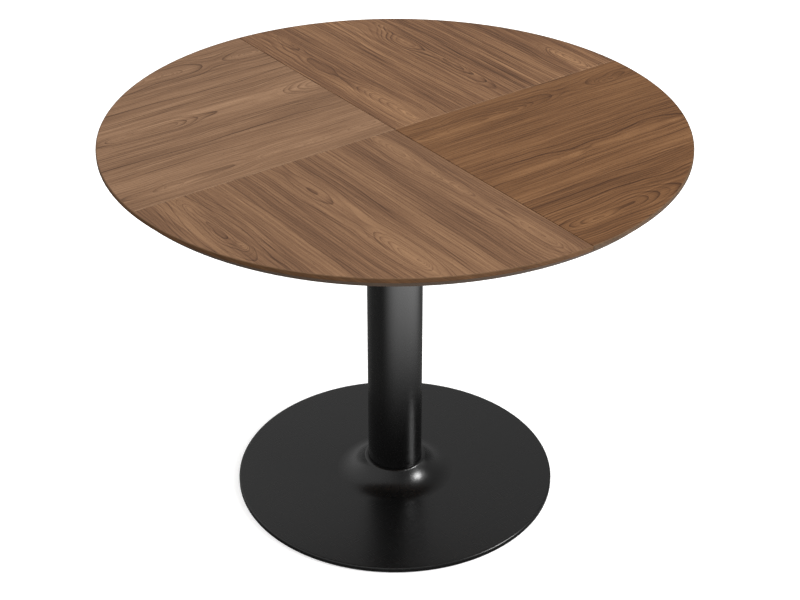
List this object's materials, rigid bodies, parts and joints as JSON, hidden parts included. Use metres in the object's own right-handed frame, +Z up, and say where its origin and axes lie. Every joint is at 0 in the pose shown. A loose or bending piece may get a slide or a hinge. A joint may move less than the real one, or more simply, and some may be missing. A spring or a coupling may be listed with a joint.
{
  "type": "round pedestal table",
  "caption": "Round dining table on a single black column and disc base, its walnut top split into halves that pull apart on geared slides.",
  "frame": {"origin": "on the floor under the column's axis, at the middle of the base", "axes": "+Z up; the halves of the top part along X, so the split runs along Y; front is -Y"},
  "size_m": [1.0498, 1.05, 0.755],
  "materials": {
    "walnut_veneer": "open-pored walnut veneer under a matt lacquer",
    "walnut_edge": "darker walnut edge under a matt lacquer",
    "core_board": "dense fibreboard, bevel stained walnut",
    "backing_sheet": "plain walnut-toned balancing sheet",
    "black_coat": "satin black powder coat",
    "ballast_steel": "dark primer on steel",
    "beech": "planed beech, waxed",
    "zinc_steel": "bright zinc plate",
    "black_lever": "satin black",
    "nylon": "natural nylon",
    "glide_plastic": "black plastic",
    "dowel_wood": "fluted beech dowel",
    "brass": "plain brass"
  },
  "bodies": {
    "pedestal": {"base_plate": "ballast_steel", "base_cover": "black_coat", "floor_glides": "glide_plastic", "threaded_boss": "ballast_steel", "column_tube": "black_coat", "top_spigot": "ballast_steel", "tie_rod": "zinc_steel", "rod_washer": "zinc_steel", "rod_nut": "zinc_steel", "top_plate": "black_coat", "front_fixed_rail": "beech", "back_fixed_rail": "beech", "rail_screws": "zinc_steel", "left_tie_bar": "black_coat", "right_tie_bar": "black_coat", "tie_bar_screws": "zinc_steel", "gear_channel": "black_coat", "channel_standoffs": "zinc_steel", "channel_screws": "zinc_steel", "pinion_axle": "zinc_steel", "axle_clip": "zinc_steel"},
    "pinion": {"pinion": "nylon"},
    "left_half": {"left_core": "core_board", "left_veneer": "walnut_veneer", "front_veneer": "walnut_veneer", "left_backing": "backing_sheet", "left_edge_band": "walnut_edge", "left_outer_runner": "beech", "left_inner_runner": "beech", "left_runner_screws": "zinc_steel", "left_stop_pin": "zinc_steel", "left_rack": "nylon", "left_rack_block": "beech", "left_rack_screws": "zinc_steel", "alignment_dowels": "dowel_wood", "front_lock_plate": "zinc_steel", "back_lock_plate": "zinc_steel", "lock_pivots": "zinc_steel", "lock_plate_screws": "zinc_steel"},
    "right_half": {"right_core": "core_board", "right_veneer": "walnut_veneer", "back_veneer": "walnut_veneer", "right_backing": "backing_sheet", "right_edge_band": "walnut_edge", "right_outer_runner": "beech", "right_inner_runner": "beech", "right_runner_screws": "zinc_steel", "right_stop_pin": "zinc_steel", "right_rack": "nylon", "right_rack_block": "beech", "right_rack_screws": "zinc_steel", "dowel_sockets": "brass", "front_lock_keeper": "zinc_steel", "back_lock_keeper": "zinc_steel", "keeper_screws": "zinc_steel"},
    "front_lever": {"front_lock_lever": "black_lever"},
    "back_lever": {"back_lock_lever": "black_lever"}
  },
  "joints": [
    {"name": "left_half_slide", "type": "slide", "parent": "pedestal", "child": "left_half", "axis": [-1, 0, 0], "range_m": [0, 0.225]},
    {"name": "right_half_slide", "type": "slide", "parent": "pedestal", "child": "right_half", "axis": [1, 0, 0], "range_m": [0, 0.225]},
    {"name": "pinion_turn", "type": "hinge", "parent": "pedestal", "child": "pinion", "pos_m": [0, 0, 0.7185], "axis": [0, 0, 1], "range_deg": [0, 430]},
    {"name": "front_lock_turn", "type": "hinge", "parent": "left_half", "child": "front_lever", "pos_m": [-0.032, -0.34, 0.726], "axis": [0, 0, -1], "range_deg": [0, 75]},
    {"name": "back_lock_turn", "type": "hinge", "parent": "left_half", "child": "back_lever", "pos_m": [-0.032, 0.34, 0.726], "axis": [0, 0, -1], "range_deg": [0, 75]}
  ],
  "couplings": [
    {"joint": "right_half_slide", "follows": "left_half_slide", "ratio": 1},
    {"joint": "pinion_turn", "follows": "left_half_slide", "rad_per_m": 33.333}
  ]
}
